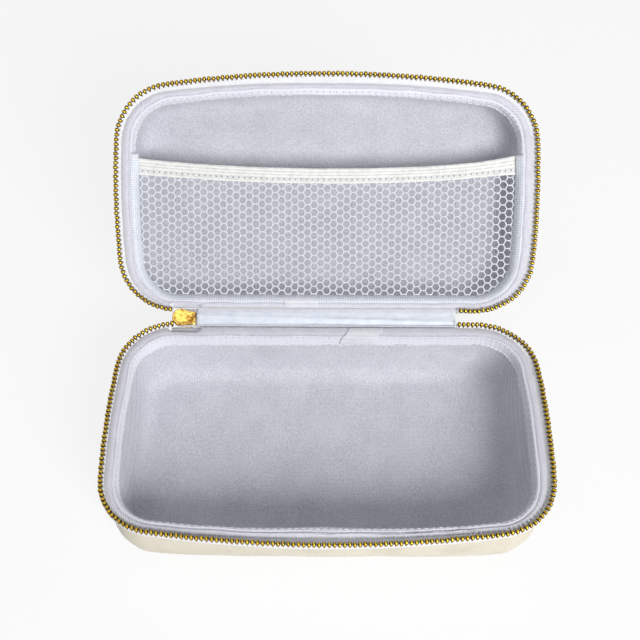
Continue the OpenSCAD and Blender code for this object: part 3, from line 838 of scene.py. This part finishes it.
def tape(half, depth, place):
    """A half's zipper tape: its corded edge between the teeth's legs, and its two layers."""
    d = np.linspace(ZIP_FROM - 0.3, ZIP_TO, 420)
    cord, clamp, top, foot = 0.6, 1.36, -2.2, -3.2
    flat = [(wall_u(depth, TAPE_TOP, SHELL_T) + 0.1, -4.95), (-4.4, -4.8), (-2.2, -4.35)]
    up = [(-clamp, -4.2), (-clamp, foot), (-cord, foot + 0.35), (-cord, top - 0.3), (0, top),
          (cord, top - 0.3), (cord, foot + 0.35), (clamp, foot), (1.3, -4.4), (0.3, -4.7)]
    back = [(-0.6, -5.15), (-3.4, -5.18), (wall_u(depth, RIM_DROP, SHELL_T) + 0.1, -5.18)]
    # The outer edge lies over the cover, deepest at the front's left end.
    reach = 1.2 + 1.6 * lap_share(half, d) + 0.12 * ripple(d, 0 * d, 9)
    over = [(-0.45, -5.2), (wall_u(depth, RIM_DROP + 0.9, -0.45), -RIM_DROP - 0.9),
            (wall_u(depth, RIM_DROP + reach, -0.35), -RIM_DROP - reach),
            (wall_u(depth, RIM_DROP + reach, 0.1), -RIM_DROP - reach - 0.1),
            (wall_u(depth, RIM_DROP + 0.5, 0.1), -RIM_DROP - 0.5)]
    flat, up, over, back = (sections(d, part) for part in (flat, up, over, back))
    up = np.stack(leaned(half, d, up[..., 0], up[..., 1]), -1)
    section = np.concatenate([flat, up, over, back], 1)
    section[..., 1] += 0.05 * ripple(d, 0 * d, 17)[:, None]
    n, m = section.shape[:2]
    along = np.repeat(d[:, None], m, 1)
    make(f"{half}_zipper_tape", carried(along, section[..., 0], section[..., 1]), tube(n, m),
         place, TAPE, half, "zip_tape", uv=path_uv(along, section),
         replaces=(f"{half}_zip_tape",))


def stitches(name, d, curve, at, place, body, length=2.3, r=0.24):
    """A row of stitches on the binding, a share of the way across it."""
    k = int(at * (curve.shape[1] - 1))
    centre = carried(d, curve[:, k, 0], curve[:, k, 1])
    across = unit(curve[:, k + 1] - curve[:, k - 1])
    normal = np.concatenate([line(d)[:, 2:] * across[:, 1:], -across[:, :1]], 1)
    thread_bits(name, centre, unit(np.gradient(centre, axis=0)), normal, length, place, body,
                "binding", r)


def thread_bits(name, centre, run, normal, length, place, body, slot, r=0.24):
    """Short rounded lengths of thread that arch over a surface."""
    rings, sides = 5, 6
    side = np.cross(run, normal)
    t = np.linspace(-1, 1, rings)
    a = circle(sides)
    thin = r * np.sqrt(1 - 0.85 * t**4)
    arch = 0.55 * r * (1 - t**2) - 0.35 * r
    height = (arch[:, None] + thin[:, None] * np.cos(a))[None, :, :, None]
    points = (centre[:, None, None] + run[:, None, None] * (t * length / 2)[None, :, None, None]
              + normal[:, None, None] * height
              + side[:, None, None] * (thin[:, None] * np.sin(a))[None, :, :, None])
    faces = repeated(tube(rings, sides), len(centre), rings * sides)
    make(name, points, faces, place, STITCH, body, slot)


LAP_HALF = 9.5  # of the patch where the binding's ends meet


def rim(half, depth, place, lap_at, slope, offset):
    """A half's binding with its seams and lap, its zipper tape and its teeth."""
    d = np.linspace(0, LINE_LEN, 560, endpoint=False)
    curve = binding_curve(half, depth, d)
    cloth = strip(f"{half}_rim_binding", d, curve, 0.7, place, True, 25, material=BINDING,
                  body=half, slot="binding", replaces=(f"{half}_binding",))
    at = STITCH_PITCH * np.arange(STITCH_COUNT)
    row = np.stack([[np.interp(at, d, curve[:, k, c], period=LINE_LEN) for c in (0, 1)]
                    for k in range(curve.shape[1])]).transpose(2, 0, 1)
    stitches(f"{half}_binding_stitches", at, row, 0.73, place, half)
    clear = rim_values(half, np.mod(at + 1.2, LINE_LEN))[-1] < 0.1
    stitches(f"{half}_edge_stitches", (at + 1.2)[clear], row[clear], 0.16, place, half, 2.0)
    stitches(f"{half}_selvedge_stitches", at + 0.7, row, 0.96, place, half, 3.0, 0.42)
    lap = np.linspace(lap_at - LAP_HALF, lap_at + LAP_HALF, 24)
    # The patch lies on the binding at the teeth and stands off it further in.
    lift = np.interp(np.arange(curve.shape[1]), [7, 14], [0.05, 0.4])[:, None]
    face = binding_curve(half, depth, np.mod(lap, LINE_LEN), lift, False)[:, 7:-3]
    slant = lap[:, None] + slope * (np.linspace(0, 1, face.shape[1])[None] - 0.5)
    strip(f"{half}_binding_lap_patch", slant, face, 0.4, place, False, material=BINDING_LAP,
          body=half, slot="binding", replaces=(f"{half}_binding_lap",))
    tape(half, depth, place)
    teeth(half, place, offset)


rim("base", BASE_DEPTH, ON_BASE, LINE_LEN - 20, 6, 0)
rim("lid", LID_DEPTH, ON_LID, 14, 1, TOOTH_PITCH / 2)


# ---- Hinge: leatherette outside and satin inside, between the two folds
HINGE_Y = HALF_D - HINGE_INSET


def hinge_cloth(name, gx, gz, y, t, material, slot, across=0, **kind):
    """Cloth whose inner face lies at y over a grid of x and z; its weave starts at z =
    across."""
    points = there_and_back(np.stack([gx, y, gz], -1), np.stack([gx, y + t, gz], -1))
    flat = np.stack([gx, gz - across], -1)
    return make(name, points, flipped(tube(*points.shape[:2])), ON_HINGE, material, "hinge",
                slot, uv=there_and_back(flat, flat), **kind)


def hinge_sheet(name, face, t, material, slot, replaces):
    """Cloth over the whole strip between the folds; face gives its y."""
    gx, gz = np.meshgrid(np.linspace(HINGE_LEFT, HINGE_RIGHT - 2, 220),
                         np.linspace(-RIM_DROP, RIM_DROP, 26), indexing="ij")
    piece = hinge_cloth(name, gx, gz, face(gx, gz), t, material, slot, replaces=(replaces,))


def satin_face(x, z):
    """y of the satin: a long ridge that crosses it aslant, a groove and soft wrinkles."""
    free = 1 - (z / RIM_DROP) ** 4
    crest = 0.8 - 0.022 * (x + 60)
    ridge = np.exp(-(((z - crest) / 1.1) ** 2)) * (0.75 + 0.25 * np.sin(x / 17))
    groove = np.exp(-(((z + 3.1 + 0.006 * x) / 0.7) ** 2))
    groove = groove * (0.5 + 0.5 * np.exp(-(((x - 6) / 14) ** 2)))
    soft = ripple(x * 0.35, z, 5)
    return HINGE_Y - 0.35 - free * (0.6 * ridge - 0.6 * groove + 0.3 * soft + 0.42)


hinge_sheet("hinge_satin", satin_face, 0.25, SATIN, "satin", "hinge_lining")
hinge_sheet("hinge_outer_cloth", lambda x, z: HINGE_Y + 0.02 + 0.15 * (1 + ripple(x, z, 8)), 0.6,
            LEATHER, "leatherette", "hinge_cover")

# The bindings lap over the satin's two edges.
PLAIN_WEAVE = 9  # past the binding's crease, where its weave is plain
x = np.linspace(HINGE_LEFT + 0.1, HINGE_RIGHT - 2.1, 200)
for half, side, edge in (("lid", 1, 3.15), ("base", -1, 4.1)):
    low = edge + 0.3 * ripple(x, 0 * x, 28)
    z = side * (low[:, None] + (RIM_DROP - 0.05 - low)[:, None] * np.linspace(0, 1, 7))
    gx, gz = np.broadcast_arrays(x[:, None], z)
    y = np.minimum(satin_face(gx, gz) - 0.42, HINGE_Y - 1.1)
    piece = hinge_cloth(f"{half}_binding_hinge_lap", gx, gz, y, 0.35, BINDING, "binding",
                        PLAIN_WEAVE)
    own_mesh(piece)

# The zipper's tape ends in the slider.
gx, gz = np.meshgrid(np.linspace(SLIDER_X - SLIDER_LEN / 2 + 3.5, HINGE_LEFT - 0.05, 20),
                     np.linspace(-RIM_DROP + 0.1, RIM_DROP - 0.1, 12), indexing="ij")
hinge_cloth("zipper_tape_end", gx, gz, HINGE_Y - 0.15 + 0.04 * ripple(gx, gz, 6), 0.4, BINDING,
            "binding", PLAIN_WEAVE)

for side, x in (("left", HINGE_LEFT + 1.2), ("right", HINGE_RIGHT - 3.4)):
    z = np.array([-1.9, 0.0, 1.9])
    centre = np.stack([x + 0.4 * np.sin(3 * z), satin_face(x + 0 * z, z) - 0.1, z], -1)
    thread_bits(f"hinge_{side}_stitches", centre, np.tile([0.0, 0.0, 1.0], (3, 1)),
                np.tile([0.0, -1.0, 0.0], (3, 1)), 1.5, ON_HINGE, "hinge", "satin")


# ---- Slider: two domed plates with a round mouth and a waist, and the wedge between
PLATE_STEPS = 72
# Rings of a plate from its middle outwards and back underneath: each a share of its
# outline, and a height above the channel in thicknesses of the plate
PLATE_RINGS = ((0.02, 1.0), (0.35, 1.0), (0.62, 0.97), (0.78, 0.9), (0.84, 0.7), (0.9, 0.78),
               (0.96, 0.66), (1.0, 0.35), (1.0, -0.02), (0.9, -0.03), (0.5, 0.0), (0.02, 0.0))
# The darker rim between these rings is painted shade.
RIM_FROM, RIM_TO = 6, 8  # the rings between which the plate's edge is darker
MOUTH_R, WAISTS = 4.9, (1.75, 0.55)  # how deep the waist is above and below


def slider_outline(a):
    """The plate's edge in the direction a from its middle."""
    x = np.linspace(-SLIDER_LEN / 2, SLIDER_LEN / 2, 200)
    mouth = -SLIDER_LEN / 2 + MOUTH_R
    head = np.sqrt(np.maximum(MOUTH_R**2 - (x - mouth) ** 2, 0))
    t = np.clip((x - mouth) / (SLIDER_LEN / 2 - mouth), 0, 1)
    waist = np.sin(np.clip(t * 1.5, 0, 1) * math.pi / 2) ** 2
    end = np.clip((SLIDER_LEN / 2 - x) / 0.5, 0, 1) ** 0.25
    upper, lower = [np.where(x < mouth, head, MOUTH_R - deep * waist + 0.2 * t) * end
                    for deep in WAISTS]
    edge = np.concatenate([np.stack([x, upper], 1), np.stack([x[::-1], -lower[::-1]], 1)])
    angle = np.arctan2(edge[:, 1], edge[:, 0])
    order = np.argsort(angle)
    radius = np.hypot(edge[:, 0], edge[:, 1])
    return np.interp(a, angle[order], radius[order], period=math.tau)


def slider_plate(side):
    """A domed plate on one side of the channel, as points and faces."""
    a = np.linspace(-math.pi, math.pi, PLATE_STEPS, endpoint=False)
    r = slider_outline(a)
    points = np.stack([
        np.stack([s * r * np.cos(a), 0 * a + side * (CHANNEL_H / 2 + h * PLATE_T),
                  s * r * np.sin(a)], -1) for s, h in PLATE_RINGS])
    faces = tube(len(PLATE_RINGS), PLATE_STEPS)
    return points.reshape(-1, 3), flipped(faces) if side > 0 else faces


def slider_post():
    """The wedge between the plates, as points and faces."""
    x, half_x, half_z, steps = -3.4, 2.0, 1.5, 24
    levels = (-1.7, -1.0, 1.0, 1.7)
    a = circle(steps)
    points = np.stack([np.stack([x + half_x * np.cos(a), 0 * a + y, half_z * np.sin(a)], -1)
                       for y in levels])
    return points.reshape(-1, 3), flipped(tube(len(levels), steps))


def slider():
    """Both plates and the wedge as one piece, the plates' rims in a darker gold as painted shade.
    """
    points, faces = np.zeros((0, 3)), []
    for more, of_part in (slider_plate(-1), slider_plate(1), slider_post()):
        faces += [tuple(i + len(points) for i in f) for f in of_part]
        points = np.concatenate([points, more])
    piece = make("slider_shell", points, faces, ON_SLIDER, BRIGHT_GOLD, "hinge", "gold",
                 replaces=("slider_body",))
    second = len(tube(len(PLATE_RINGS), PLATE_STEPS))
    paint(piece, RIM_SHADE_GOLD, [plate + i for plate in (0, second)
                            for i in range(RIM_FROM * PLATE_STEPS, RIM_TO * PLATE_STEPS)])


slider()
dress("slider_bridge", BRIGHT_GOLD)
dress("pull_tab", BRIGHT_GOLD)


# ---- Pocket: elastic band, net of knitted threads, and the hem that holds it
BAND_Z = -POCKET_DROP
BAND_HALF = HALF_W + wall_u(LID_DEPTH, POCKET_DROP + 1.5, SHELL_T + 0.9)
BAND_R = (BAND_HALF**2 + ELASTIC_SAG**2) / (2 * ELASTIC_SAG)
BAND_Y = HALF_D - ELASTIC_REACH + ELASTIC_SAG - BAND_R


def band_y(x):
    """y of the elastic's middle: an arc that drops at its right end."""
    return BAND_Y + np.sqrt(BAND_R**2 - x**2) - 1.5 * np.clip((x - 55) / 50, 0, 1) ** 2


def elastic():
    """The pocket's ribbed elastic band and its row of stitches."""
    x = np.linspace(-BAND_HALF - 0.2, BAND_HALF + 0.2, 260)
    w = np.linspace(-1, 1, 41)
    rib = 0.1 * np.abs(np.cos(w * math.pi * 2.5)) ** 0.6 * (np.abs(w) < 0.97)
    gx, gw = np.meshgrid(x, w * ELASTIC_W / 2, indexing="ij")
    slope = -gx / np.sqrt(BAND_R**2 - gx**2)
    edge = 1 + 0.012 * np.sin(gx / 5.0) + 0.01 * np.sin(gx / 2.3)
    # Its ends are a little wider, most on the right.
    edge = edge + 0.22 * np.clip((gx - 75) / 30, 0, 1) ** 2
    edge = edge + 0.12 * np.clip((-gx - 80) / 25, 0, 1) ** 2
    px, py = gx - gw * slope, band_y(gx) + gw * edge
    wave = 0.3 * ripple(gx * 0.4, gw * 0.6, 9)
    front = BAND_Z + 0.35 * np.cos(gx / BAND_HALF * math.pi / 2) + rib[None] + wave
    top = np.stack([px, py, front], -1)
    points = there_and_back(top, np.stack([px, py, front - rib[None] - 0.85], -1))
    flat = np.stack([gx, gw], -1)
    make("pocket_elastic_band", points, tube(*points.shape[:2]), ON_LID, ELASTIC, "lid",
         "elastic", uv=there_and_back(flat, flat), replaces=("pocket_elastic",))
    count = int(BAND_HALF / ELASTIC_PITCH)
    sx = ELASTIC_PITCH * np.arange(-count, count + 1)
    j = int(np.argmin(np.abs(w * ELASTIC_W / 2 - ELASTIC_ROW)))
    centre = np.stack([np.interp(sx, gx[:, j], top[:, j, c]) for c in range(3)], -1)
    run = unit(np.stack([np.ones(len(sx)), -sx / np.sqrt(BAND_R**2 - sx**2), 0 * sx], -1))
    up = np.tile([0.0, 0.0, 1.0], (len(sx), 1))
    thread_bits("elastic_stitches", centre + 0.03 * up, run, up, 1.9, ON_LID, "lid", "elastic",
                0.26)


def inside_pocket(p):
    """Whether points of the lid lie between the hem and the elastic."""
    d = np.linspace(0, LINE_LEN, 900, endpoint=False)
    s = line(d)
    u = -by_side(d, 9.2, 9.2, 8.7, 7.3)
    edge = s[:, :2] + u[:, None] * s[:, 2:]
    near = np.argmin(((p[:, None] - edge[None]) ** 2).sum(-1), 1)
    out = ((p - edge[near]) * s[near, 2:]).sum(1)
    return (out < 0) & (p[:, 1] > band_y(p[:, 0]) + ELASTIC_W / 2 - 2.2)


def honeycomb():
    """Both ends of each thread of a honeycomb that the pocket fits in."""
    cell, rows_apart = 2.43, 4.4
    corners = [(-cell / 2, rows_apart / 2), (cell / 2, rows_apart / 2), (cell, 0),
               (cell / 2, -rows_apart / 2)]
    ends = []
    for column in range(-30, 31):
        x = column * 1.5 * cell + 0.4
        y = (np.arange(-6, 17) + (0.5 if column % 2 else 0)) * rows_apart
        knots = [np.stack([x + i + 0 * y, y + j], -1) for i, j in corners]
        ends += [np.stack(pair, 1) for pair in zip(knots, knots[1:])]
    ends = np.concatenate(ends)
    pull = [ripple(ends[..., 0], ends[..., 1], size) for size in (22, 25)]
    return ends + 0.35 * np.stack(pull, -1)


def cut_to_pocket(ends):
    """The threads inside the pocket, those that cross its edge cut off there."""
    in0, in1 = inside_pocket(ends[:, 0]), inside_pocket(ends[:, 1])
    ends[~in0 & in1] = ends[~in0 & in1][:, ::-1]
    cut = (in0 ^ in1)[in0 | in1]
    ends = ends[in0 | in1]
    lo, hi = ends[cut, 0], ends[cut, 1]
    for _ in range(6):
        mid = (lo + hi) / 2
        ok = inside_pocket(mid)[:, None]
        lo, hi = np.where(ok, mid, lo), np.where(ok, hi, mid)
    ends[cut, 1] = lo
    return ends[np.linalg.norm(ends[:, 1] - ends[:, 0], axis=1) > 0.4]


def net():
    """The pocket's net: each thread a thin tube, narrowest at its middle."""
    ends = cut_to_pocket(honeycomb())
    run = ends[:, 1] - ends[:, 0]
    length = np.linalg.norm(run, axis=1)
    side = np.stack([-run[:, 1] / length, run[:, 0] / length, 0 * length], -1)
    t, thick = np.array([0.0, 0.5, 1.0]), np.array([0.42, 0.33, 0.42])
    rings, sides = len(t), 6
    b = circle(sides)
    flat = ends[:, None, 0] + run[:, None] * t[None, :, None]
    z = BAND_Z - 1.35 - 0.35 * ripple(flat[..., 0], flat[..., 1], 40)
    centre = np.concatenate([flat, z[..., None]], -1)
    ring = (thick[:, None] * np.cos(b))[None, :, :, None] * side[:, None, None]
    ring = ring + (0.7 * thick[:, None] * np.sin(b))[None, :, :, None] * np.array([0, 0, 1.0])
    faces = repeated(flipped(tube(rings, sides)), len(ends), rings * sides)
    piece = make("pocket_net", centre[:, :, None] + ring, faces, ON_LID, NET_THREAD, "lid",
                 "mesh", replaces=("pocket_mesh",))


def hem():
    """The knitted hem that holds the net, up to the elastic at both sides."""
    scan = np.linspace(60, 250, 1900)
    s = line(scan)
    end = scan[np.argmax(s[:, 1] < band_y(BAND_HALF) - ELASTIC_W / 2 - 1.5)]
    d = np.linspace(-end, end, 300)
    inner = by_side(d, 10.2, 10.2, 9.6, 8.4) + 0.2 * ripple(d, 0 * d, 12)
    outer = by_side(d, 6.2, 6.4, 5.6, 5.2) + 0.1 * ripple(d, 0 * d, 7)
    over = np.clip((np.abs(d) - end + 14) / 4, 0, 1)
    points = [(-outer, -2.75), (-outer - 0.7, -2.55), (-(outer + inner) / 2 - 0.5, -4.0),
              (-inner + 0.2, 1.2 * over - 6.6), (-inner, 1.9 * over - 8.1)]
    curve = smooth_curve(sections(d, points), 5)
    middle = np.sin(np.linspace(0, math.pi, curve.shape[1]))
    curve[..., 1] += 0.12 * np.sin(d[:, None] * 2.1) * middle
    strip("pocket_hem", d, curve, 0.6, ON_LID, False, material=NET_HEM, body="lid", slot="mesh")


elastic()
hem()
net()
